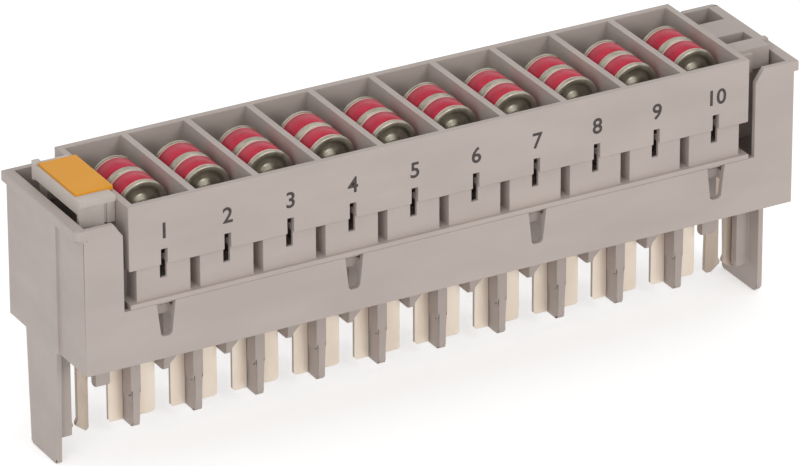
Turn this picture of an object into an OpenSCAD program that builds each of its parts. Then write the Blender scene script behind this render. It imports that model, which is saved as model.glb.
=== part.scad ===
// Surge protection plug for a ten-pair terminal strip.
// X runs along the row of pairs, Y from front to back, Z up. The origin is the
// middle of the plug's length and depth, at the height of its two leg tips.

/* [Pairs] */
// Number of wire pairs, each with its own gas tube
pairs = 10; // [4:1:12]
// Distance from one pair to the next
pitch = 10.65; // [10.4:0.05:11.2]

/* [Housing] */
// Length from the last pair's edge to the outside of an end wall
end_zone = 8.6; // [8.4:0.1:10]
// Depth from front to back
housing_d = 25; // [24:0.5:28]
// Height of the low front and back walls above the skirt's edge
wall_h = 9.3; // [8.8:0.1:11]
// Height of the end walls and corner posts above the skirt's edge
rim_h = 24.1; // [23.4:0.1:25]
// Thickness of the front and back walls
wall_t = 1; // [0.9:0.05:1.4]
// Thickness of the end walls
end_t = 1; // [0.9:0.05:1.2]
// Radius of the upright corners at the front left and the back right
corner_r = 1; // [0.6:0.1:1.3]
// Width of the chamfer on a corner post
post_chamfer_w = 1.5; // [0.5:0.1:2]
// Height of the chamfer on a corner post
post_chamfer_h = 2.2; // [1:0.1:4]
// How far the lip stands out at each end
lip_w = 0.8; // [0.4:0.1:1.2]
// Height of the lip
lip_h = 1.7; // [1:0.1:2.5]
// Height of the deck's top above the skirt's edge
deck_h = 8; // [7:0.1:8.2]
// Thickness of the deck that carries the contacts
deck_t = 1.5; // [1:0.1:2]
// Depth of the step in each end face
face_step = 0.4; // [0.2:0.05:0.6]
// Width of the stepped part of an end face
face_step_w = 8.6; // [6:0.1:9]
// Height of the stepped part of an end face
face_step_h = 21.8; // [16:0.1:22.2]

/* [Wall notches] */
// Every how many pairs a notch is cut in the low walls
notch_every = 3; // [1:1:4]
// Width of a wall notch at its mouth
wall_notch_top = 3.1; // [2:0.1:4]
// Width of a wall notch at its foot
wall_notch_low = 1.9; // [1:0.1:2]
// Depth of a wall notch below the wall's top
wall_notch_h = 5.6; // [3:0.1:6]
// Size of the bevels at a wall notch's foot
wall_notch_bevel = 0.4; // [0.2:0.05:0.45]

/* [Legs] */
// Length of a leg below the skirt's edge
leg_l = 19.2; // [17.5:0.1:22]
// Distance of a leg's back edge behind the housing's middle, at its root
leg_back = 7.05; // [6.5:0.05:8]
// Distance of the left leg's front edge in front of the middle, at its root
leg_front_left = 3.3; // [3:0.1:5]
// Distance of the right leg's front edge in front of the middle
leg_front_right = 4.5; // [3:0.1:5.5]
// How far a slanting edge of a leg leans in towards the tip
leg_lean = 0.8; // [0.2:0.05:1.2]
// Radius at the front foot of the right leg
leg_foot_r = 1.6; // [0.6:0.1:2]
// Radius at the other lower corners of the legs
leg_tip_r = 0.8; // [0.4:0.1:1.2]
// Thickness of a leg
leg_t = 0.9; // [0.8:0.05:1.1]
// Width of the rib inside a leg
leg_rib_w = 2.2; // [1:0.1:2.3]
// Thickness of the rib inside a leg
leg_rib_t = 1.5; // [1:0.1:2]
// Height of the rib's foot above the leg's tip
leg_rib_up = 3.9; // [2:0.1:8]

/* [Guide ribs] */
// Thickness of the rib between the two blades of a pair
rib_t = 1.2; // [0.8:0.05:1.3]
// Thickness of that rib at its root
rib_root_t = 1.7; // [1.4:0.05:1.75]
// How far the thick root reaches below the skirt's edge
rib_root_h = 11.4; // [8:0.1:12]
// How far the rib reaches below the skirt's edge
rib_h = 16.65; // [16.3:0.05:17]
// Depth of a rib and of a fin from front to back
rib_d = 6.2; // [5:0.1:7]
// Thickness of the fin between two pairs
fin_t = 1; // [0.8:0.05:1.1]
// How far a fin reaches below the skirt's edge
fin_h = 8.3; // [5:0.1:10]
// Radius at the lower corners of ribs and fins
rib_r = 1; // [0.4:0.1:1.5]
// Width of the gusset beside a fin
gusset_w = 1.2; // [0.6:0.05:1.25]
// Height of the gusset's foot above the fin's foot
gusset_up = 1; // [0.6:0.1:2]
// Height of the gusset's slanting part
gusset_h = 1.2; // [0.6:0.1:2]
// Thickness of the outermost fins
end_fin_t = 2.4; // [1:0.1:2.6]

/* [Magazine] */
// Height of the magazine above the low walls
mag_h = 16.8; // [16.2:0.1:18]
// Height of the lower band of its front and back
band_h = 6.2; // [5.6:0.1:8]
// How far the upper band lies behind the housing's face
upper_set = 0.3; // [0.1:0.05:0.5]
// How far the lower band lies behind the housing's face
lower_set = 0.75; // [0.6:0.01:1]
// Thickness of the upper front and back walls
mag_wall_t = 1.1; // [0.8:0.05:1.4]
// Thickness of the lower front and back walls
mag_low_t = 1.6; // [1.4:0.05:1.9]
// Thickness of the lower wall beside a test slot
slot_wall_t = 0.7; // [0.6:0.05:1.2]
// Width of the thin wall beside a test slot
slot_wall_w = 5; // [3:0.1:6]
// Thickness of the dividers between compartments
divider_t = 1.14; // [0.8:0.02:1.3]
// Thickness of the magazine's floor
floor_t = 1.2; // [1:0.1:1.6]
// Height of the ledge that rests on the low walls
ledge_h = 0.8; // [0.6:0.1:1.2]
// Width of a test slot
slot_w = 1.1; // [0.8:0.05:1.4]
// Height of a test slot
slot_h = 4.9; // [3:0.1:6]
// Height of a test slot's foot above the low walls
slot_up = 3.8; // [3:0.1:5]
// Width of the notch between two pairs
notch_w = 1.6; // [1.2:0.05:2]
// Depth of that notch into the lower band
notch_d = 3.2; // [1.2:0.1:3.4]
// Thickness of the walls round a notch, inside the magazine
notch_wall = 0.8; // [0.6:0.05:0.9]
// Gap between the magazine and the corner posts
post_gap = 1.05; // [0.6:0.05:1.2]

/* [End fittings] */
// Height of the latch tab above the rim
tab_up = 1.3; // [1:0.1:1.6]
// Depth of the left latch tab from front to back
tab_d = 2.6; // [2:0.1:2.7]
// Depth of the right latch tab from front to back
tab_d_right = 3.3; // [2.6:0.1:3.6]
// Distance of the latch tab's near face from the housing's middle
tab_off = 4.2; // [4.1:0.1:4.6]
// Gap between the right latch tab and the end wall
tab_gap = 0.5; // [0.2:0.05:0.8]
// Reach of the right latch tab's hook over the end wall
hook_over = 0.7; // [0.4:0.05:0.8]
// Depth of the hook from front to back
hook_d = 1.1; // [0.6:0.1:1.6]
// Thickness of the web under the latch tab
web_t = 1.2; // [0.8:0.1:1.6]
// Length of the boss at the tab's root
boss_l = 3; // [1.5:0.1:4]
// Depth of the boss from front to back
boss_d = 1.6; // [1:0.1:2]
// Height of the boss above the rim
boss_up = 0.9; // [0.5:0.1:1]
// Distance of the shelf's near edge from the housing's middle
shelf_off = 1.1; // [1.05:0.05:1.6]
// Depth of the shelf from front to back
shelf_d = 5.65; // [4:0.05:6]
// Thickness of the shelf
shelf_t = 2.4; // [1.5:0.1:3]
// How far the left shelf lies below the rim, under the label holder
shelf_drop = 6.2; // [5:0.1:8]
// Width of the two posts under the shelf
shelf_post = 1; // [0.6:0.1:1.4]

/* [Label] */
// Height of the label holder above the rim
holder_h = 3.1; // [2.9:0.1:4]
// Distance of the holder's front face from the housing's middle
holder_fwd = 8.4; // [7.7:0.1:9.5]
// How far the holder's front wall hangs below the rim
holder_drop = 1.8; // [1:0.1:3]
// Gap between the holder's side and the end wall
holder_gap = 0.95; // [0.6:0.05:1.2]
// Height of the holder's side above the rim
holder_lift = 0.35; // [0.1:0.05:0.6]
// Thickness of the holder's front and back walls
holder_wall = 0.7; // [0.5:0.05:0.8]
// Height of the holder's upper band, which stands proud of the front wall
holder_band_h = 1; // [0.8:0.1:1.6]
// How far that band stands proud
holder_band_out = 0.3; // [0.1:0.05:0.4]
// Radius at the lower left corner of the front wall
holder_r = 0.8; // [0.4:0.1:1]
// Width of the upright groove in the front wall
groove_w = 0.5; // [0.3:0.05:0.7]
// Distance of the groove from the front wall's right end
groove_in = 1.3; // [0.6:0.1:2]
// Width of the lip beside the label plate
holder_lip = 0.5; // [0.4:0.05:1]
// Width of the lip in front of the label plate
holder_front_lip = 2.4; // [1.6:0.1:3]
// Width of the lip behind the label plate
holder_back_lip = 1.2; // [0.8:0.05:1.6]
// How far the plate reaches over the magazine's end
plate_over = 0.8; // [0.2:0.1:1]
// Thickness of the label plate
plate_t = 0.8; // [0.6:0.05:0.9]
// How far the plate lies below the top of the holder's corner
plate_set = 0.1; // [0.05:0.05:0.3]
// How far the lips lie below the top of the holder's corner
lip_drop = 0.5; // [0.2:0.05:0.6]
// Width of the holder's raised back corner
holder_corner = 1.15; // [0.8:0.05:1.2]
// Length of the foot under the holder
holder_foot_l = 2; // [1:0.1:3]
// Depth of that foot from front to back
holder_foot_d = 4; // [2:0.1:5]

/* [Gas tubes] */
// Diameter of a gas tube over its rings
tube_d = 8.2; // [7.8:0.05:8.6]
// Length of a gas tube
tube_l = 10.4; // [9.6:0.1:10.6]
// Height of a tube's axis above the skirt's edge
tube_up = 22.3; // [22:0.1:22.6]
// Distance of a tube's middle in front of the housing's middle
tube_fwd = 0.4; // [0.2:0.05:0.6]
// Depth of the groove between the rings, where the ceramic lies
tube_groove = 0.15; // [0.05:0.05:0.3]
// Width of the centre ring
ring_w = 1; // [0.8:0.05:1.4]
// Width of an end ring
end_ring_w = 0.55; // [0.4:0.05:0.8]
// Depth of the dish in each end
dish_deep = 0.8; // [0.4:0.05:1]

/* [Contacts] */
// Thickness of the line contacts
strip_t = 0.6; // [0.4:0.05:0.7]
// Thickness of a line contact's foot
foot_t = 0.5; // [0.3:0.05:0.6]
// Thickness of a spring arm
arm_t = 0.5; // [0.4:0.05:0.6]
// Width of a spring arm
arm_w = 3; // [2:0.1:4]
// Gap between a spring arm and the tube's end
arm_gap = 0.5; // [0.3:0.05:0.7]
// Height of a spring arm's end above the tube's axis
arm_up = 1.1; // [1:0.05:1.5]
// Radius of the dimple that touches the tube
dimple_r = 0.85; // [0.6:0.05:0.95]
// Depth of the foot at a spring arm's root
foot_d = 1.6; // [1:0.1:2]
// Distance of the blades' plane behind the housing's middle
blade_back = 1.3; // [1.25:0.05:1.5]
// How far a blade reaches below the skirt's edge
blade_h = 16.2; // [12:0.1:16.25]
// Distance from the pair's middle to a blade's near edge
blade_in = 0.9; // [0.88:0.02:1]
// Distance from the pair's middle to the outer edge of blade a
blade_a_out = 3.4; // [3:0.1:3.8]
// Distance from the pair's middle to the outer edge of blade b
blade_b_out = 4.6; // [4:0.1:4.7]
// Bevel at the outer foot of blade a
blade_a_bevel = 0.4; // [0.2:0.05:0.8]
// Radius at the outer foot of blade b
blade_b_r = 0.6; // [0.3:0.1:1.4]

/* [Earth contacts] */
// Thickness of the earth rail and of the forks
earth_t = 0.8; // [0.6:0.05:0.8]
// Height of the rail's top above the skirt's edge
rail_up = 20; // [19.4:0.1:20.4]
// Height of the rail's two tongues above the magazine's floor
tongue_h = 4; // [2:0.1:5]
// Distance of the right fork's slot from the outside of its end wall
fork_in_right = 4.9; // [4.8:0.05:5.2]
// Distance of the left fork's slot from the outside of its end wall
fork_in_left = 4.3; // [4.2:0.05:4.5]
// Half the gap between a fork's prongs
prong_gap = 0.56; // [0.45:0.01:0.7]
// Half the gap where a fork grips
grip_gap = 0.24; // [0.1:0.01:0.3]
// Distance of the right prong's outer edge from the slot's middle
prong_right = 2.4; // [2.2:0.05:2.6]
// How far the left prong leans out towards its tip
prong_splay = 0.15; // [0.05:0.05:0.2]
// Distance of the tips' sloping faces from the slot's middle
tip_flat = 1.85; // [1.5:0.05:1.9]
// Size of the bevel at the outer corner of a tip
tip_bevel = 0.4; // [0.2:0.05:0.45]
// Width of the fork's tang, which passes through the deck to the rail
fork_tang = 3.2; // [2:0.1:4]
// Reach of the right fork's shoulder towards the nearest pair
fork_reach = 4.1; // [3.2:0.1:4.2]
// How far a fork's tips reach below the skirt's edge
fork_h = 16; // [15:0.1:17.4]
// How far the shoulder reaches below the skirt's edge
fork_shoulder = 7.9; // [6:0.1:9]
// Height of the shoulder's slope
shoulder_h = 1.2; // [0.6:0.1:2]

/* [Hidden] */
$fn = 64;
eps = 0.02;
// clearance between parts that slide together
fit = 0.1;

housing_l = pairs * pitch + 2 * end_zone;
mag_l = pairs * pitch + divider_t;
half_l = housing_l / 2;
half_d = housing_d / 2;

z_skirt = leg_l;
z_deck = z_skirt + deck_h;
z_deck_low = z_deck - deck_t;
z_wall = z_skirt + wall_h;
z_rim = z_skirt + rim_h;
z_floor_low = z_deck + foot_t;
z_floor = z_floor_low + floor_t;
z_band = z_wall + band_h;
z_top = z_wall + mag_h;
z_tab = z_rim + tab_up;
z_boss = z_rim + boss_up;
z_holder = z_rim + holder_h;
z_tube = z_skirt + tube_up;

// the tubes' middle plane, with the rail in it and the forks against its back
y_tube = -tube_fwd;
y_rail = y_tube - earth_t / 2;
y_fork = y_rail + earth_t;
y_blade = blade_back - strip_t / 2;
y_rib = blade_back - rib_d / 2;

window_l = mag_l + 2 * post_gap;
upper_y = half_d - upper_set;
lower_y = half_d - lower_set;
inner_x = half_l - end_t;
inner_y = half_d - wall_t;
rail_top = z_skirt + rail_up;
tongue_top = z_floor + tongue_h;
x_fork_right = half_l - fork_in_right;
x_fork_left = -half_l + fork_in_left;
prong_left = fork_in_left - end_t - 4 * fit;
tube_r = tube_d / 2;
dome_set = 0.2;
// heights of the grip and its bump above a fork's tip
grip_low = 1.2;
grip_high = 1.6;
grip_root = 2.3;
// distance of a fork's slot top below the skirt's edge
slot_below = 2;
end_fin_r = 0.6;

// the label holder's ends and its two faces
holder_l0 = -inner_x + holder_gap;
holder_l1 = -mag_l / 2 - fit;
holder_y1 = tab_off + tab_d + fit + holder_wall;
holder_y0 = -holder_fwd;
plate_z = z_holder - plate_set - plate_t;
plate_y0 = holder_y0 + holder_front_lip;
plate_y1 = holder_y1 - holder_back_lip;
plate_x1 = holder_l1 + plate_over;
tab_left = -holder_l0 - holder_wall - fit;

function numbered(name, k) = str(name, k < 10 ? "0" : "", k);
function pair_x(k) = (k - (pairs + 1) / 2) * pitch;

// a copy turned half round the upright middle axis
module both_ends() {
    children();
    rotate([0, 0, 180]) children();
}

// an outline drawn in X and Z, extruded back from y = from to y = to
module plate_xz(from, to) {
    translate([0, to, 0]) rotate([90, 0, 0]) linear_extrude(to - from) children();
}

// an outline drawn in Y and Z, extruded from x = from to x = to
module plate_yz(from, to) {
    translate([from, 0, 0]) rotate([90, 0, 90]) linear_extrude(to - from) children();
}

// a box given by its two corners
module block(low, high) {
    translate(low) cube(high - low);
}

// what rounds off a corner at the origin, whose sides run towards +x and +y
module corner_cut(r) {
    difference() {
        translate([-1, -1]) square(1 + r);
        translate([r, r]) circle(r);
    }
}

// a tongue hanging from z = top to z = low, with round lower corners
module hanging_tongue(y0, y1, low, top, r) {
    translate([y0, low + r]) square([y1 - y0, top - low - r]);
    translate([y0 + r, low]) square([y1 - y0 - 2 * r, r + eps]);
    for (y = [y0 + r, y1 - r]) translate([y, low + r]) circle(r);
}

// Base housing

// the outline from above, with two opposite corners rounded
module outer_outline(l) {
    difference() {
        square([l, housing_d], center = true);
        for (side = [0, 180]) rotate(side) translate([-l / 2, -half_d]) corner_cut(corner_r);
    }
}

module housing_shell() {
    difference() {
        union() {
            translate([0, 0, z_skirt]) linear_extrude(rim_h) outer_outline(housing_l);
            // the lip round the top of each end
            translate([0, 0, z_rim - lip_h])
                linear_extrude(lip_h) outer_outline(housing_l + 2 * lip_w);
        }
        // the cavities above and below the deck
        block([-inner_x, -inner_y, z_deck], [inner_x, inner_y, z_rim + 1]);
        block([-inner_x, -inner_y, z_skirt - 1], [inner_x, inner_y, z_deck_low]);
        // the window that leaves the low walls between the corner posts
        plate_xz(-half_d - 1, half_d + 1) polygon([
            [-window_l / 2, z_wall], [window_l / 2, z_wall],
            [window_l / 2, z_rim - post_chamfer_h], [window_l / 2 + post_chamfer_w, z_rim],
            [window_l / 2 + post_chamfer_w, z_rim + 1], [-window_l / 2 - post_chamfer_w, z_rim + 1],
            [-window_l / 2 - post_chamfer_w, z_rim], [-window_l / 2, z_rim - post_chamfer_h]]);
        // the notches in the low walls
        for (k = [1:notch_every:pairs], side = [0, 180])
            rotate([0, 0, side]) translate([pair_x(k), 0, 0])
                plate_xz(-half_d - 1, -inner_y + 1) wall_notch();
        // the steps in the end faces
        both_ends() block([-half_l - 1, -half_d - 1, z_skirt - 1],
                          [-half_l + face_step, -half_d + face_step_w, z_skirt + face_step_h]);
    }
}

module wall_notch() {
    low = z_wall - wall_notch_h;
    bevel = wall_notch_bevel;
    polygon([
        [-wall_notch_low / 2 + bevel, low], [wall_notch_low / 2 - bevel, low],
        [wall_notch_low / 2, low + bevel], [wall_notch_top / 2, z_wall + eps],
        [-wall_notch_top / 2, z_wall + eps], [-wall_notch_low / 2, low + bevel]]);
}

// a leg at the right-hand end, with its front edge at y = -front_root and y = -front_tip
module leg(front_root, front_tip, front_r) {
    root = z_deck_low;
    back_tip = leg_back - leg_lean;
    plate_yz(half_l - leg_t, half_l) difference() {
        polygon([
            [-front_root, root], [-front_root, z_skirt], [-front_tip, front_r], [-front_tip, 0],
            [back_tip, 0], [back_tip, leg_tip_r], [leg_back, z_skirt], [leg_back, root]]);
        translate([-front_tip, 0]) corner_cut(front_r);
        translate([back_tip, 0]) mirror([1, 0]) corner_cut(leg_tip_r);
    }
}

module legs() {
    leg(leg_front_right, leg_front_right - eps, leg_foot_r);
    mirror([1, 0, 0]) leg(leg_front_left, leg_front_left - leg_lean, leg_tip_r);
}

// the ribs inside the legs, in front of the forks at both ends
module leg_ribs() {
    for (side = [0, 1]) mirror([side, 0, 0])
        block([half_l - leg_t - leg_rib_w, y_fork - fit - leg_rib_t, leg_rib_up],
              [half_l - leg_t + eps, y_fork - fit, z_deck_low + eps]);
}

// the shelf at an end, drawn at the right-hand end with its top at z = top
module end_shelf(top) {
    block([window_l / 2, shelf_off, top - shelf_t], [inner_x + eps, shelf_off + shelf_d, top]);
    for (y = [shelf_off, shelf_off + shelf_d - shelf_post])
        block([inner_x - shelf_post, y, z_deck - eps], [inner_x + eps, y + shelf_post, top - eps]);
}

module guide_ribs() {
    for (k = [1:pairs]) translate([pair_x(k), 0, 0]) {
        plate_yz(-rib_t / 2, rib_t / 2)
            hanging_tongue(y_rib, y_rib + rib_d, z_skirt - rib_h, z_deck_low + eps, rib_r);
        plate_yz(-rib_root_t / 2, rib_root_t / 2)
            hanging_tongue(y_rib, y_rib + rib_d, z_skirt - rib_root_h, z_deck_low + eps, rib_r);
    }
    for (k = [1:pairs - 1]) translate([pair_x(k + 0.5), 0, 0]) {
        plate_yz(-fin_t / 2, fin_t / 2)
            hanging_tongue(y_rib, y_rib + rib_d, z_skirt - fin_h, z_deck_low + eps, rib_r);
        plate_xz(y_rib, y_rib + rib_d) gusset();
    }
    // the outermost fins stop in front of the forks
    for (side = [0, 1]) mirror([side, 0, 0]) translate([pairs * pitch / 2, 0, 0])
        plate_yz(-fin_t, end_fin_t - fin_t)
            hanging_tongue(y_rib, y_fork - fit, z_skirt - fin_h, z_deck_low + eps, end_fin_r);
}

// the gusset that widens a fin towards its root
module gusset() {
    low = z_skirt - fin_h + gusset_up;
    polygon([
        [fin_t / 2 - eps, low], [fin_t / 2 + gusset_w, low + gusset_h],
        [fin_t / 2 + gusset_w, z_deck_low + eps], [fin_t / 2 - eps, z_deck_low + eps]]);
}

module deck_slots() {
    for (k = [1:pairs]) translate([pair_x(k), 0, 0]) {
        block([-blade_a_out - fit, y_blade - fit, z_deck_low - 1],
              [-blade_in + fit, y_blade + strip_t + fit, z_deck + 1]);
        block([blade_in - fit, y_blade - fit, z_deck_low - 1],
              [blade_b_out + fit, y_blade + strip_t + fit, z_deck + 1]);
    }
    for (x = [x_fork_left, x_fork_right])
        translate([x, 0, 0])
            block([-fork_tang / 2 - fit, y_fork - fit, z_deck_low - 1],
                  [fork_tang / 2 + fit, y_fork + earth_t + fit, z_deck + 1]);
}

module base_housing() {
    color([0.72, 0.69, 0.66]) difference() {
        union() {
            housing_shell();
            legs();
            leg_ribs();
            end_shelf(z_rim);
            rotate([0, 0, 180]) end_shelf(z_rim - shelf_drop);
            guide_ribs();
        }
        deck_slots();
    }
}

// Magazine

module magazine_body() {
    // the foot stands on the contacts between the low walls
    block([-mag_l / 2, -inner_y + fit, z_floor_low], [mag_l / 2, inner_y - fit, z_wall + eps]);
    block([-mag_l / 2, -lower_y, z_wall], [mag_l / 2, lower_y, z_band]);
    block([-mag_l / 2, -half_d, z_wall], [mag_l / 2, half_d, z_wall + ledge_h]);
    block([-mag_l / 2, -upper_y, z_band], [mag_l / 2, upper_y, z_top]);
}

module compartment() {
    half_w = (pitch - divider_t) / 2;
    neck_w = (pitch - notch_w) / 2 - notch_wall;
    neck_in = lower_y - notch_d - notch_wall;
    low_in = lower_y - mag_low_t;
    slot_in = lower_y - slot_wall_t;
    up_in = upper_y - mag_wall_t;
    block([-half_w, -neck_in, z_floor], [half_w, neck_in, z_top + 1]);
    // between the notches the walls stand closer together
    block([-neck_w, -low_in, z_floor], [neck_w, low_in, z_top + 1]);
    block([-slot_wall_w / 2, -slot_in, z_floor], [slot_wall_w / 2, slot_in, z_band - eps]);
    block([-half_w, -up_in, z_band + notch_wall], [half_w, up_in, z_top + 1]);
}

// a test slot and the slots for the two spring arms
module pair_cuts() {
    for (side = [0, 180]) rotate([0, 0, side])
        block([-slot_w / 2, -half_d - 1, z_wall + slot_up],
              [slot_w / 2, -lower_y + mag_low_t + 1, z_wall + slot_up + slot_h]);
    block([-arm_w / 2 - fit, y_tube - tube_l / 2 - arm_gap - arm_t - fit, z_floor_low - 1],
          [arm_w / 2 + fit, y_tube - tube_l / 2 - arm_gap + fit, z_floor + 1]);
    block([-arm_w / 2 - fit, y_tube + tube_l / 2 + arm_gap - fit, z_floor_low - 1],
          [arm_w / 2 + fit, y_tube + tube_l / 2 + arm_gap + arm_t + fit, z_floor + 1]);
}

// a latch tab so deep, drawn at the right-hand end, which reaches to x = end
module latch_tab(end, depth) {
    y_web = -tab_off - tab_d / 2;
    block([mag_l / 2 - eps, -tab_off - depth, z_rim - shelf_t], [end, -tab_off, z_tab]);
    block([mag_l / 2 - eps, y_web - web_t / 2, z_floor], [end - 1, y_web + web_t / 2, z_tab - eps]);
    block([mag_l / 2 - eps, -tab_off - tab_d - boss_d, z_rim - shelf_t],
          [mag_l / 2 + boss_l, -tab_off - tab_d + eps, z_boss]);
}

module magazine() {
    color([0.7, 0.67, 0.64]) difference() {
        union() {
            magazine_body();
            latch_tab(inner_x - tab_gap, tab_d_right);
            block([inner_x - tab_gap - eps, -tab_off - hook_d, z_rim],
                  [inner_x + hook_over, -tab_off, z_tab]);
            rotate([0, 0, 180]) latch_tab(tab_left, tab_d);
        }
        for (k = [1:pairs]) translate([pair_x(k), 0, 0]) {
            compartment();
            pair_cuts();
        }
        // the notches between the pairs and at both ends
        for (k = [0:pairs], side = [0, 180]) rotate([0, 0, side])
            translate([pair_x(k + 0.5), 0, 0])
                block([-notch_w / 2, -lower_y - eps, z_wall + ledge_h],
                      [notch_w / 2, -lower_y + notch_d, z_band]);
        // the windows that the earth rail passes through
        block([-mag_l / 2 - 1, y_rail - fit, z_floor], [mag_l / 2 + 1, y_fork + fit, rail_top + fit]);
        // room for the label plate, which reaches over the left end
        block([-mag_l / 2 - 1, plate_y0 - fit, plate_z - fit],
              [plate_x1 + fit, plate_y1 + fit, max(z_top, z_holder) + 1]);
    }
}

// Label holder and plate

module label_holder() {
    color([0.78, 0.76, 0.75]) difference() {
        union() {
            block([holder_l0, holder_y0, z_rim + holder_lift], [holder_l1, holder_y1, z_holder]);
            block([holder_l0 + holder_wall, holder_y0 + eps, z_rim],
                  [holder_l1, holder_y1, z_rim + holder_lift + eps]);
            // the front wall, and a foot at the back left corner
            plate_xz(holder_y0, holder_y0 + holder_wall + holder_band_out) holder_front();
            block([holder_l0, holder_y1 - holder_wall, z_rim],
                  [holder_l0 + holder_wall + eps, holder_y1, z_rim + holder_lift + eps]);
            // the foot that stands on the left shelf
            block([-window_l / 2 - fit - holder_foot_l, -shelf_off - shelf_d + fit, z_rim - shelf_drop],
                  [-window_l / 2 - fit, -shelf_off - shelf_d + fit + holder_foot_d, z_rim + holder_lift]);
        }
        // the front wall's face behind the band above it, and its groove
        block([holder_l0 - 1, holder_y0 - 1, z_rim - holder_drop - 1],
              [holder_l1 + 1, holder_y0 + holder_band_out, z_holder - lip_drop - holder_band_h]);
        block([holder_l1 - groove_in - groove_w, holder_y0 - 1, z_rim - holder_drop - 1],
              [holder_l1 - groove_in, holder_y0 + 2 * holder_band_out, z_holder - lip_drop - holder_band_h]);
        // the plate's bed, open towards the tubes
        block([holder_l0 + holder_lip, plate_y0, plate_z], [holder_l1 + 1, plate_y1, z_holder + 1]);
        // the lips lie lower all round, apart from the back left corner
        block([holder_l0 - 1, holder_y0 - 1, z_holder - lip_drop],
              [holder_l1 + 1, holder_y1 - holder_corner, z_holder + 1]);
        block([holder_l0 + holder_corner, holder_y0 - 1, z_holder - lip_drop],
              [holder_l1 + 1, holder_y1 + 1, z_holder + 1]);
        // room for the latch tab and its boss
        block([-tab_left - fit, tab_off - fit, z_rim - 1],
              [holder_l1 + 1, tab_off + tab_d + fit, z_tab + fit]);
        block([-mag_l / 2 - boss_l - fit, tab_off, z_rim - 1],
              [holder_l1 + 1, holder_y1 + 1, z_boss + fit]);
    }
}

module holder_front() {
    difference() {
        translate([holder_l0, z_rim - holder_drop])
            square([holder_l1 - holder_l0, holder_drop + holder_lift + eps]);
        translate([holder_l0, z_rim - holder_drop]) corner_cut(holder_r);
    }
}

module label_plate() {
    color([0.93, 0.66, 0.2])
        block([holder_l0 + holder_lip + fit / 2, plate_y0 + fit / 2, plate_z],
              [plate_x1, plate_y1 - fit / 2, plate_z + plate_t]);
}

// Gas tubes

// the outline of half a tube: r from its axis, s along it
module tube_outline() {
    h = tube_l / 2;
    ceramic_r = tube_r - tube_groove;
    polygon([
        [0, -h + dome_set], [tube_r * 0.28, -h + dome_set], [tube_r * 0.42, -h + dish_deep],
        [tube_r * 0.7, -h + dish_deep], [tube_r * 0.78, -h], [tube_r - 0.1, -h], [tube_r, -h + 0.1],
        [tube_r, -h + end_ring_w], [ceramic_r, -h + end_ring_w],
        [ceramic_r, -ring_w / 2], [tube_r, -ring_w / 2], [tube_r, ring_w / 2], [ceramic_r, ring_w / 2],
        [ceramic_r, h - end_ring_w], [tube_r, h - end_ring_w],
        [tube_r, h - 0.1], [tube_r - 0.1, h], [tube_r * 0.78, h], [tube_r * 0.7, h - dish_deep],
        [tube_r * 0.42, h - dish_deep], [tube_r * 0.28, h - dome_set], [0, h - dome_set]]);
}

module gas_tube(k) {
    color([0.76, 0.3, 0.36]) translate([pair_x(k), y_tube, z_tube])
        rotate([-90, 0, 0]) rotate_extrude() tube_outline();
}

// Line contacts

// a spring arm that presses on one end of the tube, drawn for the front end
module spring_arm() {
    y_face = y_tube - tube_l / 2 - arm_gap;
    block([-arm_w / 2, y_face - arm_t, z_deck], [arm_w / 2, y_face, z_tube + arm_up]);
    translate([0, y_face - eps, z_tube]) rotate([-90, 0, 0])
        cylinder(r = dimple_r, h = arm_gap + dome_set + eps);
}

module blade_a() {
    plate_xz(y_blade, y_blade + strip_t) polygon([
        [-blade_a_out, z_deck + foot_t], [-blade_a_out, z_skirt - blade_h + blade_a_bevel],
        [-blade_a_out + blade_a_bevel, z_skirt - blade_h], [-blade_in, z_skirt - blade_h],
        [-blade_in, z_deck + foot_t]]);
}

module blade_b() {
    plate_xz(y_blade, y_blade + strip_t) {
        translate([blade_in, z_skirt - blade_h + blade_b_r])
            square([blade_b_out - blade_in, z_deck + foot_t - z_skirt + blade_h - blade_b_r]);
        translate([blade_in, z_skirt - blade_h])
            square([blade_b_out - blade_in - blade_b_r, blade_b_r + eps]);
        translate([blade_b_out - blade_b_r, z_skirt - blade_h + blade_b_r]) circle(blade_b_r);
    }
}

module line_contact_a(k) {
    y_arm = y_tube - tube_l / 2 - arm_gap - arm_t;
    color([0.85, 0.79, 0.7]) translate([pair_x(k), 0, 0]) {
        blade_a();
        block([-blade_a_out, y_arm, z_deck], [-blade_in, y_blade + strip_t, z_deck + foot_t]);
        block([-blade_a_out, y_arm, z_deck], [arm_w / 2, y_arm + foot_d, z_deck + foot_t]);
        spring_arm();
    }
}

module line_contact_b(k) {
    y_arm = y_tube + tube_l / 2 + arm_gap + arm_t;
    color([0.85, 0.79, 0.7]) translate([pair_x(k), 0, 0]) {
        blade_b();
        block([blade_in, y_blade, z_deck], [blade_b_out, y_arm, z_deck + foot_t]);
        block([-arm_w / 2, y_arm - foot_d, z_deck], [blade_b_out, y_arm, z_deck + foot_t]);
        translate([0, 2 * y_tube, 0]) mirror([0, 1, 0]) spring_arm();
    }
}

// Earth rail and forks

module earth_rail() {
    color([0.75, 0.68, 0.6]) plate_xz(y_rail, y_rail + earth_t) difference() {
        union() {
            translate([-mag_l / 2, z_floor]) square([mag_l, rail_top - z_floor]);
            translate([x_fork_left - fork_tang / 2, z_floor])
                square([x_fork_right - x_fork_left + fork_tang, tongue_top - z_floor]);
        }
        for (k = [1:pairs]) translate([pair_x(k), z_tube]) circle(tube_r + eps);
    }
}

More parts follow.
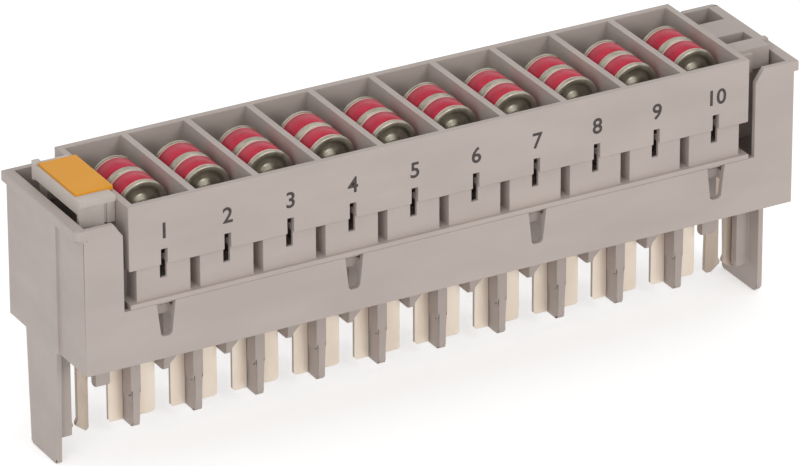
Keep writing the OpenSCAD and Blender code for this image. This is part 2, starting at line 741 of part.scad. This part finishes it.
// a fork, drawn round the middle of its slot, with its wide body under the deck
module fork_outline() {
    tip = z_skirt - fork_h;
    slot_top = z_skirt - slot_below;
    tip_left = prong_left + prong_splay;
    polygon([
        [-fork_tang / 2, tongue_top], [-fork_tang / 2, z_deck_low], [-prong_left, z_deck_low],
        [-prong_left, z_skirt - fork_shoulder], [-tip_left, tip + tip_bevel],
        [-tip_left + tip_bevel, tip], [-tip_flat, tip], [-grip_gap, tip + grip_low],
        [-grip_gap, tip + grip_high], [-prong_gap, tip + grip_root], [-prong_gap, slot_top],
        [prong_gap, slot_top], [prong_gap, tip + grip_root], [grip_gap, tip + grip_high],
        [grip_gap, tip + grip_low], [tip_flat, tip], [prong_right - tip_bevel + eps, tip],
        [prong_right, tip + tip_bevel], [prong_right, z_deck_low],
        [fork_tang / 2, z_deck_low], [fork_tang / 2, tongue_top]]);
}

// the shoulder beside the right fork's left prong
module fork_shoulder_outline() {
    polygon([
        [-fork_reach, z_deck_low], [-fork_reach, z_skirt - fork_shoulder],
        [-prong_left + eps, z_skirt - fork_shoulder - shoulder_h], [-prong_left + eps, z_deck_low]]);
}

module earth_fork(x) {
    color([0.68, 0.6, 0.52]) translate([x, 0, 0]) plate_xz(y_fork, y_fork + earth_t) {
        fork_outline();
        if (x > 0) fork_shoulder_outline();
    }
}

base_housing();
magazine();
label_holder();
label_plate();
earth_rail();
earth_fork(x_fork_left);  // earth_fork_left
earth_fork(x_fork_right);  // earth_fork_right
for (k = [1:pairs]) {
    gas_tube(k);
    line_contact_a(k);
    line_contact_b(k);
}
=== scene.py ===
"""Surge protection plug.

Ten gas tubes lie in an open grey magazine, on a base with contact blades and two legs.
"""
import math

import bmesh
import bpy
from mathutils import Matrix, Vector
from mathutils.bvhtree import BVHTree


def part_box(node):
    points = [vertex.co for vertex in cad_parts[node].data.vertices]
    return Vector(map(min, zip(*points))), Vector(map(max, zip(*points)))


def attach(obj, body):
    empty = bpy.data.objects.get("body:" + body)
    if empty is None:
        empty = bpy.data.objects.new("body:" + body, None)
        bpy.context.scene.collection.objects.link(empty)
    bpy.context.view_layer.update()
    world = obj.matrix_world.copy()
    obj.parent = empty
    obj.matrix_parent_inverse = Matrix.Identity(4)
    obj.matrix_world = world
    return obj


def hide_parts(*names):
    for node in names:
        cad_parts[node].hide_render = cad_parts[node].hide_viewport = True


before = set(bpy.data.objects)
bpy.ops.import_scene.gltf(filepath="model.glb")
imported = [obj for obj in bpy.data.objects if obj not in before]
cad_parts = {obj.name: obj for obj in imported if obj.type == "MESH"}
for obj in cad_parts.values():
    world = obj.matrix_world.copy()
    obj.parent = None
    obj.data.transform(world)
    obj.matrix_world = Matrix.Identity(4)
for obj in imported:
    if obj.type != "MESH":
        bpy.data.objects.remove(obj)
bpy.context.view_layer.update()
mm = 0.001

# Base housing
# The skirt, end walls, legs, deck and guide ribs are one moulding in warm grey glass filled polyester.
# Its edges are eased by the mould, and its skin is a fine satin with a faint flow mottle.


def blank_material(name):
    """A material with one Principled shader, and that shader."""
    material = bpy.data.materials.new(name)
    material.use_nodes = True
    tree = material.node_tree
    tree.nodes.clear()
    shader = tree.nodes.new("ShaderNodeBsdfPrincipled")
    output = tree.nodes.new("ShaderNodeOutputMaterial")
    tree.links.new(shader.outputs["BSDF"], output.inputs["Surface"])
    return material, shader


def object_noise(tree, per_metre, detail=3.0, stretch=(1, 1, 1)):
    """The value of a noise that is fixed to the object, with so many cells to the metre."""
    place = tree.nodes.new("ShaderNodeTexCoord")
    mapping = tree.nodes.new("ShaderNodeMapping")
    mapping.inputs["Scale"].default_value = stretch
    noise = tree.nodes.new("ShaderNodeTexNoise")
    noise.inputs["Scale"].default_value = per_metre
    noise.inputs["Detail"].default_value = detail
    tree.links.new(place.outputs["Object"], mapping.inputs["Vector"])
    tree.links.new(mapping.outputs["Vector"], noise.inputs["Vector"])
    return noise.outputs["Fac"]


def blend_tones(tree, noise, dark, light):
    """A colour that goes from dark to light over the middle values of a noise."""
    ramp = tree.nodes.new("ShaderNodeValToRGB")
    ramp.color_ramp.elements[0].position = 0.35
    ramp.color_ramp.elements[0].color = (*dark, 1)
    ramp.color_ramp.elements[1].position = 0.65
    ramp.color_ramp.elements[1].color = (*light, 1)
    tree.links.new(noise, ramp.inputs["Fac"])
    return ramp.outputs["Color"]


def spread_value(tree, noise, low, high):
    """The value of a noise, spread from low to high."""
    spread = tree.nodes.new("ShaderNodeMapRange")
    spread.inputs["From Min"].default_value = 0.3
    spread.inputs["From Max"].default_value = 0.7
    spread.inputs["To Min"].default_value = low
    spread.inputs["To Max"].default_value = high
    tree.links.new(noise, spread.inputs["Value"])
    return spread.outputs["Result"]


def raise_grain(tree, shader, noise, height):
    """Bumps a shader by a noise, with its height in metres."""
    bump = tree.nodes.new("ShaderNodeBump")
    bump.inputs["Distance"].default_value = height
    tree.links.new(noise, bump.inputs["Height"])
    tree.links.new(bump.outputs["Normal"], shader.inputs["Normal"])


def moulded_plastic(name, colour, roughness, mottle=0.04):
    """Moulded plastic: a faint mottle, a satin that varies a little and a fine grain."""
    material, shader = blank_material(name)
    tree = material.node_tree
    dark = [c * (1 - mottle) for c in colour]
    light = [min(1, c * (1 + mottle)) for c in colour]
    flow = object_noise(tree, per_metre=110, stretch=(0.5, 1, 1.6))
    tree.links.new(blend_tones(tree, flow, dark, light), shader.inputs["Base Color"])
    sheen = object_noise(tree, per_metre=420)
    satin = spread_value(tree, sheen, low=roughness - 0.04, high=roughness + 0.05)
    tree.links.new(satin, shader.inputs["Roughness"])
    grain = object_noise(tree, per_metre=4200, detail=2)
    raise_grain(tree, shader, grain, height=0.003 * mm)
    shader.inputs["IOR"].default_value = 1.5
    shader.inputs["Specular IOR Level"].default_value = 0.35
    return material


def eased_copy(node, name, edge, material):
    """A copy of a CAD node with clean faces and edges eased by so much, which stands in for the node."""
    same_point = 0.001 * mm
    same_plane = math.radians(0.5)
    sharp_edge = math.radians(35)
    work = bmesh.new()
    work.from_mesh(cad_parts[node].data)
    bmesh.ops.remove_doubles(work, verts=work.verts, dist=same_point)
    bmesh.ops.dissolve_limit(work, angle_limit=same_plane, verts=work.verts, edges=work.edges)
    # concave faces are split, as one with a narrow neck would be filled across an opening once bevelled
    bmesh.ops.connect_verts_concave(work, faces=work.faces)
    for face in work.faces:
        face.smooth = True
    solid = BVHTree.FromBMesh(work)
    mesh = bpy.data.meshes.new(name)
    work.to_mesh(mesh)
    work.free()
    piece = bpy.data.objects.new(name, mesh)
    bpy.context.scene.collection.objects.link(piece)
    bevel = piece.modifiers.new("eased edges", "BEVEL")
    bevel.width = edge
    bevel.segments = 2
    bevel.limit_method = "ANGLE"
    bevel.angle_limit = sharp_edge
    bevel.use_clamp_overlap = False
    bevel.harden_normals = True
    weighted = piece.modifiers.new("flat faces", "WEIGHTED_NORMAL")
    weighted.keep_sharp = True
    depsgraph = bpy.context.evaluated_depsgraph_get()
    piece.data = bpy.data.meshes.new_from_object(piece.evaluated_get(depsgraph))
    piece.data.name = name
    piece.modifiers.clear()
    bpy.data.meshes.remove(mesh)
    # a point that the bevel throws further out than an eased edge goes back to the solid
    furthest = 0.85 * edge
    for vertex in piece.data.vertices:
        nearest, _, _, distance = solid.find_nearest(vertex.co)
        if distance > furthest:
            vertex.co = nearest
    piece.data.materials.clear()
    piece.data.materials.append(material)
    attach(piece, "root")
    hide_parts(node)


moulded_edge = 0.12 * mm
housing_plastic = moulded_plastic("housing plastic", (0.470, 0.404, 0.372), roughness=0.48)
eased_copy("base_housing", "housing", moulded_edge, housing_plastic)

# Magazine
# The open box with ten compartments is a second moulding in the same grey plastic.
# It is clipped into the base between the corner posts.

magazine_plastic = moulded_plastic("magazine plastic", (0.470, 0.404, 0.370), roughness=0.46)
eased_copy("magazine", "magazine_box", moulded_edge, magazine_plastic)

# Label holder and plate
# A pale cap is pushed on at the left end, and a plate in signal yellow lies loose in it.
# Both are moulded. The cap's edges are eased least, because its top face has a very narrow neck.

cap_edge = 0.02 * mm
plate_edge = 0.08 * mm
holder_plastic = moulded_plastic("holder plastic", (0.570, 0.510, 0.465), roughness=0.36)
eased_copy("label_holder", "label_cap", cap_edge, holder_plastic)
label_plastic = moulded_plastic("label plastic", (0.780, 0.335, 0.018), roughness=0.5, mottle=0.03)
eased_copy("label_plate", "yellow_plate", plate_edge, label_plastic)

# Line contacts
# Twenty blades stamped from tin plated spring bronze strip, with a spring arm each.
# The matte tin has a fine rolling grain along the blade, and the sheared edges show the bronze.


def tinned_metal(name, dark, light, roughness, metallic):
    """Tin plated strip: two close tones, a rolling grain along Z and a varied gloss."""
    material, shader = blank_material(name)
    tree = material.node_tree
    cast = object_noise(tree, per_metre=260, stretch=(1, 1, 0.35))
    tree.links.new(blend_tones(tree, cast, dark, light), shader.inputs["Base Color"])
    grain = object_noise(tree, per_metre=5200, stretch=(1, 1, 0.04))
    gloss = spread_value(tree, grain, low=roughness - 0.05, high=roughness + 0.07)
    tree.links.new(gloss, shader.inputs["Roughness"])
    raise_grain(tree, shader, grain, height=0.0015 * mm)
    shader.inputs["Metallic"].default_value = metallic
    return material


def bare_cut_edges(material, bronze):
    """Shows the bare bronze where a face of the strip looks along its width or its length."""
    tree = material.node_tree
    shader = next(node for node in tree.nodes if node.type == "BSDF_PRINCIPLED")
    plating = shader.inputs["Base Color"].links[0].from_socket
    facing = tree.nodes.new("ShaderNodeTexCoord")
    split = tree.nodes.new("ShaderNodeSeparateXYZ")
    flat = tree.nodes.new("ShaderNodeMath")
    flat.operation = "ABSOLUTE"
    tree.links.new(facing.outputs["Normal"], split.inputs["Vector"])
    tree.links.new(split.outputs["Y"], flat.inputs[0])
    cut = tree.nodes.new("ShaderNodeMix")
    cut.data_type = "RGBA"
    cut.inputs["A"].default_value = (*bronze, 1)
    tree.links.new(flat.outputs["Value"], cut.inputs["Factor"])
    tree.links.new(plating, cut.inputs["B"])
    tree.links.new(cut.outputs["Result"], shader.inputs["Base Color"])


blade_edge = 0.06 * mm
contact_tin = tinned_metal("contact tin", dark=(0.84, 0.72, 0.60), light=(0.92, 0.81, 0.69),
                           roughness=0.36, metallic=0.45)
bare_cut_edges(contact_tin, bronze=(0.40, 0.33, 0.27))
pairs = sum(1 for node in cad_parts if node.startswith("gas_tube_"))
for pair in range(1, pairs + 1):
    for side in "ab":
        eased_copy(f"line_contact_{side}_{pair:02d}", f"blade_{side}_{pair:02d}", blade_edge,
                   contact_tin)

# Earth rail and forks
# The rail runs under all ten tubes, and a sprung fork is welded to each of its ends.
# They are thicker strip with a duller, browner tin than the blades.

earth_edge = 0.08 * mm
earth_tin = tinned_metal("earth tin", dark=(0.42, 0.345, 0.28), light=(0.55, 0.46, 0.385),
                         roughness=0.34, metallic=0.7)
for node, name in (("earth_rail", "rail"), ("earth_fork_left", "fork_left"),
                   ("earth_fork_right", "fork_right")):
    eased_copy(node, name, earth_edge, earth_tin)

# Gas tubes
# Two white ceramic sleeves, glazed red outside, are brazed between nickel plated electrode cups
# and a centre ring. The cups' ends are dished, with a flat contact face in the middle.

nickel, nickel_shader = blank_material("tube nickel")
nickel_tree = nickel.node_tree
stain = object_noise(nickel_tree, per_metre=600)
nickel_tree.links.new(blend_tones(nickel_tree, stain, (0.31, 0.28, 0.22), (0.46, 0.42, 0.34)),
                      nickel_shader.inputs["Base Color"])
nickel_tree.links.new(spread_value(nickel_tree, stain, low=0.30, high=0.42),
                      nickel_shader.inputs["Roughness"])
nickel_grain = object_noise(nickel_tree, per_metre=3000)
raise_grain(nickel_tree, nickel_shader, nickel_grain, height=0.002 * mm)
nickel_shader.inputs["Metallic"].default_value = 0.75

ceramic = moulded_plastic("tube ceramic", (0.80, 0.69, 0.60), roughness=0.5, mottle=0.06)

glaze, glaze_shader = blank_material("red glaze")
glaze_tree = glaze.node_tree
depth = object_noise(glaze_tree, per_metre=500)
glaze_tree.links.new(blend_tones(glaze_tree, depth, (0.46, 0.022, 0.048), (0.57, 0.038, 0.072)),
                     glaze_shader.inputs["Base Color"])
glaze_tree.links.new(spread_value(glaze_tree, depth, low=0.3, high=0.4),
                     glaze_shader.inputs["Roughness"])
glaze_waves = object_noise(glaze_tree, per_metre=900)
raise_grain(glaze_tree, glaze_shader, glaze_waves, height=0.002 * mm)
glaze_shader.inputs["Specular IOR Level"].default_value = 0.2

tube_low, tube_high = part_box("gas_tube_01")
tube_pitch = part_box("gas_tube_02")[0].x - tube_low.x
tube_centre = (tube_low + tube_high) / 2
tube_r = (tube_high.z - tube_low.z) / 2
half_tube = (tube_high.y - tube_low.y) / 2


def lathe(name, outlines, material, turns=72):
    """Turns outlines of (radius, place along Y) round a tube's axis, each into a shell of its own."""
    crease = math.radians(50)
    work = bmesh.new()
    for outline in outlines:
        rings = []
        for radius, along in outline:
            if radius == 0:
                rings.append([work.verts.new((0, along, 0))])
                continue
            ring = []
            for step in range(turns):
                angle = 2 * math.pi * step / turns
                ring.append(work.verts.new((radius * math.cos(angle), along, radius * math.sin(angle))))
            rings.append(ring)
        for ring, after in zip(rings, rings[1:]):
            for step in range(turns):
                corners = [ring[step % len(ring)], ring[(step + 1) % len(ring)],
                           after[(step + 1) % len(after)], after[step % len(after)]]
                work.faces.new(list(dict.fromkeys(corners)))
    bmesh.ops.recalc_face_normals(work, faces=work.faces)
    for face in work.faces:
        face.smooth = True
    for edge in work.edges:
        edge.smooth = len(edge.link_faces) < 2 or edge.calc_face_angle() < crease
    mesh = bpy.data.meshes.new(name)
    work.to_mesh(mesh)
    work.free()
    mesh.materials.append(material)
    part = bpy.data.objects.new(name, mesh)
    bpy.context.scene.collection.objects.link(part)
    return part


ring_w = 1.0 * mm
sleeve_r = tube_r - 0.12 * mm
sleeve_end = half_tube - 0.62 * mm
glaze_r = tube_r - 0.08 * mm
glaze_out = half_tube - 0.95 * mm
glaze_front = -1.0 * mm
glaze_back = 0.7 * mm


def cup_outline(end):
    """An electrode cup from its contact face out to its flange, at the front (-1) or the back (1)."""
    points = [(0, 0.18), (0.85, 0.18), (1.1, 0.28), (1.45, 0.72), (1.8, 0.86), (2.5, 0.86), (2.85, 0.7),
              (3.1, 0.22), (3.25, 0.05), (3.45, 0), (3.8, 0), (4.0, 0.06), (4.1, 0.2), (4.1, 0.62),
              (3.6, 0.64)]
    return [(r * mm, end * (half_tube - s * mm)) for r, s in points]


def band_outline(start, stop, radius):
    """A plain sleeve from start to stop, with its ends turned in."""
    ease = 0.04 * mm
    skin = 0.3 * mm
    return [(radius - skin, start), (radius - ease, start), (radius, start + ease),
            (radius, stop - ease), (radius - ease, stop), (radius - skin, stop)]


tube_parts = [
    lathe("cups", [cup_outline(-1), cup_outline(1),
                   band_outline(-ring_w / 2, ring_w / 2, tube_r)], nickel),
    lathe("sleeves", [band_outline(-sleeve_end, -ring_w / 2, sleeve_r),
                      band_outline(ring_w / 2, sleeve_end, sleeve_r)], ceramic),
    lathe("glazing", [band_outline(-glaze_out, glaze_front, glaze_r),
                      band_outline(glaze_back, glaze_out, glaze_r)], glaze),
]

row = bpy.data.node_groups.new("tube row", "GeometryNodeTree")
row.interface.new_socket("Geometry", in_out="OUTPUT", socket_type="NodeSocketGeometry")
count_socket = row.interface.new_socket("Count", in_out="INPUT", socket_type="NodeSocketInt")
pitch_socket = row.interface.new_socket("Pitch", in_out="INPUT", socket_type="NodeSocketFloat")
row_in = row.nodes.new("NodeGroupInput")
row_out = row.nodes.new("NodeGroupOutput")
step_vector = row.nodes.new("ShaderNodeCombineXYZ")
places = row.nodes.new("GeometryNodeMeshLine")
places.inputs["Start Location"].default_value = tube_centre
spin = row.nodes.new("FunctionNodeRandomValue")
spin.data_type = "FLOAT"
spin.inputs["Min"].default_value = 0.0
spin.inputs["Max"].default_value = 2 * math.pi
spin.inputs["Seed"].default_value = 7
spin_vector = row.nodes.new("ShaderNodeCombineXYZ")
stand = row.nodes.new("GeometryNodeInstanceOnPoints")
join = row.nodes.new("GeometryNodeJoinGeometry")
realize = row.nodes.new("GeometryNodeRealizeInstances")
row.links.new(row_in.outputs["Count"], places.inputs["Count"])
row.links.new(row_in.outputs["Pitch"], step_vector.inputs["X"])
row.links.new(step_vector.outputs["Vector"], places.inputs["Offset"])
row.links.new(places.outputs["Mesh"], stand.inputs["Points"])
row.links.new(spin.outputs["Value"], spin_vector.inputs["Y"])
row.links.new(spin_vector.outputs["Vector"], stand.inputs["Rotation"])
for part in tube_parts:
    info = row.nodes.new("GeometryNodeObjectInfo")
    info.inputs["Object"].default_value = part
    finish = row.nodes.new("GeometryNodeSetMaterial")
    finish.inputs["Material"].default_value = part.data.materials[0]
    row.links.new(info.outputs["Geometry"], finish.inputs["Geometry"])
    row.links.new(finish.outputs["Geometry"], join.inputs["Geometry"])
row.links.new(join.outputs["Geometry"], stand.inputs["Instance"])
row.links.new(stand.outputs["Instances"], realize.inputs["Geometry"])
row.links.new(realize.outputs["Geometry"], row_out.inputs["Geometry"])

tubes = bpy.data.objects.new("tubes", bpy.data.meshes.new("tubes"))
bpy.context.scene.collection.objects.link(tubes)
setter = tubes.modifiers.new("tube row", "NODES")
setter.node_group = row
setter[count_socket.identifier] = pairs
setter[pitch_socket.identifier] = tube_pitch
depsgraph = bpy.context.evaluated_depsgraph_get()
tubes.data = bpy.data.meshes.new_from_object(tubes.evaluated_get(depsgraph))
tubes.modifiers.clear()
for part in tube_parts:
    bpy.data.objects.remove(part)
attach(tubes, "root")
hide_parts(*[f"gas_tube_{pair:02d}" for pair in range(1, pairs + 1)])

# Pair numbers
# Plain numbers are pad printed in dark ink on the magazine, one over each test slot.
# They lie on the upper part of its front, a little behind the edge of the ledge at its foot.

ink, ink_shader = blank_material("dark ink")
ink_tree = ink.node_tree
cover = object_noise(ink_tree, per_metre=1800)
ink_tree.links.new(blend_tones(ink_tree, cover, (0.030, 0.022, 0.020), (0.060, 0.046, 0.042)),
                   ink_shader.inputs["Base Color"])
ink_tree.links.new(spread_value(ink_tree, cover, low=0.45, high=0.6), ink_shader.inputs["Roughness"])


def printed_text(words, size, place, turn, weight):
    """The mesh of a printed word, centred on a place and turned from lying face up."""
    curve = bpy.data.curves.new("print", "FONT")
    curve.body = words
    curve.size = size
    curve.align_x = "CENTER"
    curve.align_y = "CENTER"
    curve.offset = weight
    curve.extrude = 0.01 * mm
    curve.resolution_u = 4
    text = bpy.data.objects.new("print", curve)
    bpy.context.scene.collection.objects.link(text)
    mesh = bpy.data.meshes.new_from_object(text.evaluated_get(bpy.context.evaluated_depsgraph_get()))
    mesh.transform(Matrix.Translation(place) @ turn)
    bpy.data.objects.remove(text)
    bpy.data.curves.remove(curve)
    return mesh


def joined_piece(name, meshes, material):
    """One piece made of several meshes."""
    work = bmesh.new()
    for mesh in meshes:
        work.from_mesh(mesh)
        bpy.data.meshes.remove(mesh)
    whole = bpy.data.meshes.new(name)
    work.to_mesh(whole)
    work.free()
    whole.materials.append(material)
    piece = bpy.data.objects.new(name, whole)
    bpy.context.scene.collection.objects.link(piece)
    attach(piece, "root")


digit_size = 3.6 * mm
digit_weight = 0.07 * mm
behind_ledge = 0.3 * mm
below_top = 5.2 * mm
magazine_low, magazine_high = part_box("magazine")
print_y = magazine_low.y + behind_ledge
print_z = magazine_high.z - below_top
face_front = Matrix.Rotation(math.radians(90), 4, "X")
numbers = []
for pair in range(pairs):
    spot = Vector((tube_centre.x + pair * tube_pitch, print_y, print_z))
    numbers.append(printed_text(str(pair + 1), digit_size, spot, face_front, digit_weight))
joined_piece("pair_numbers", numbers, ink)

# Stage
# A pale floor, soft light from all round and two broad lamps in front.
# The camera stands where corner points of the plug in the photograph place it.


def seen_or_mirrored(tree, dim, bright):
    """The bright value for what the camera sees, by itself or in metal, and the dim one for light."""
    path = tree.nodes.new("ShaderNodeLightPath")
    mirrored = tree.nodes.new("ShaderNodeMath")
    mirrored.operation = "MAXIMUM"
    tree.links.new(path.outputs["Is Glossy Ray"], mirrored.inputs[0])
    tree.links.new(path.outputs["Is Transmission Ray"], mirrored.inputs[1])
    seen = tree.nodes.new("ShaderNodeMath")
    seen.operation = "MAXIMUM"
    tree.links.new(path.outputs["Is Camera Ray"], seen.inputs[0])
    tree.links.new(mirrored.outputs["Value"], seen.inputs[1])
    span = tree.nodes.new("ShaderNodeMapRange")
    span.inputs["To Min"].default_value = dim
    span.inputs["To Max"].default_value = bright
    tree.links.new(seen.outputs["Value"], span.inputs["Value"])
    return span.outputs["Result"]


floor_material, floor_shader = blank_material("pale floor")
floor_shader.inputs["Base Color"].default_value = (0.93, 0.93, 0.93, 1)
floor_shader.inputs["Roughness"].default_value = 0.9
floor_shader.inputs["Specular IOR Level"].default_value = 0.1
floor_shader.inputs["Emission Color"].default_value = (1, 1, 1, 1)
floor_tree = floor_material.node_tree
floor_glow = seen_or_mirrored(floor_tree, dim=0, bright=0.4)
floor_tree.links.new(floor_glow, floor_shader.inputs["Emission Strength"])
floor_mesh = bpy.data.meshes.new("floor")
reach = 6.0
floor_mesh.from_pydata([(-reach, -reach, 0), (reach, -reach, 0), (reach, reach, 0), (-reach, reach, 0)],
                       [], [(0, 1, 2, 3)])
floor_mesh.materials.append(floor_material)
floor = bpy.data.objects.new("floor", floor_mesh)
bpy.context.scene.collection.objects.link(floor)

world = bpy.data.worlds.new("studio")
bpy.context.scene.world = world
world.use_nodes = True
sky = world.node_tree.nodes["Background"]
sky.inputs["Color"].default_value = (1, 1, 1, 1)
sky_light = seen_or_mirrored(world.node_tree, dim=0.7, bright=1)
world.node_tree.links.new(sky_light, sky.inputs["Strength"])


def soft_lamp(name, place, aim, width, height, power):
    """A rectangular lamp at a place, facing a point."""
    light = bpy.data.lights.new(name, "AREA")
    light.shape = "RECTANGLE"
    light.size = width
    light.size_y = height
    light.energy = power
    lamp = bpy.data.objects.new(name, light)
    lamp.location = place
    lamp.rotation_euler = (Vector(aim) - Vector(place)).to_track_quat("-Z", "Y").to_euler()
    bpy.context.scene.collection.objects.link(lamp)


plug_middle = (0, 0, 0.02)
soft_lamp("left lamp", (-0.95, -0.8, 0.45), plug_middle, width=0.7, height=0.5, power=3)
soft_lamp("right lamp", (0.3, -1.15, 0.55), plug_middle, width=0.35, height=0.35, power=2.9)

camera = bpy.data.objects.new("camera", bpy.data.cameras.new("camera"))
bpy.context.scene.collection.objects.link(camera)
camera.location = (-0.46692, -0.84009, 0.49123)
view_point = Vector((-0.001186, 0, 0.023493))
roll = math.radians(-0.141)
straight = (view_point - camera.location).to_track_quat("-Z", "Y").to_matrix()
camera.rotation_euler = (straight @ Matrix.Rotation(roll, 3, "Z")).to_euler()
camera.data.lens = 313.02
camera.data.sensor_width = 36
camera.data.clip_start = 0.05
camera.data.clip_end = 50
bpy.context.scene.camera = camera
bpy.context.scene.view_settings.view_transform = "Standard"
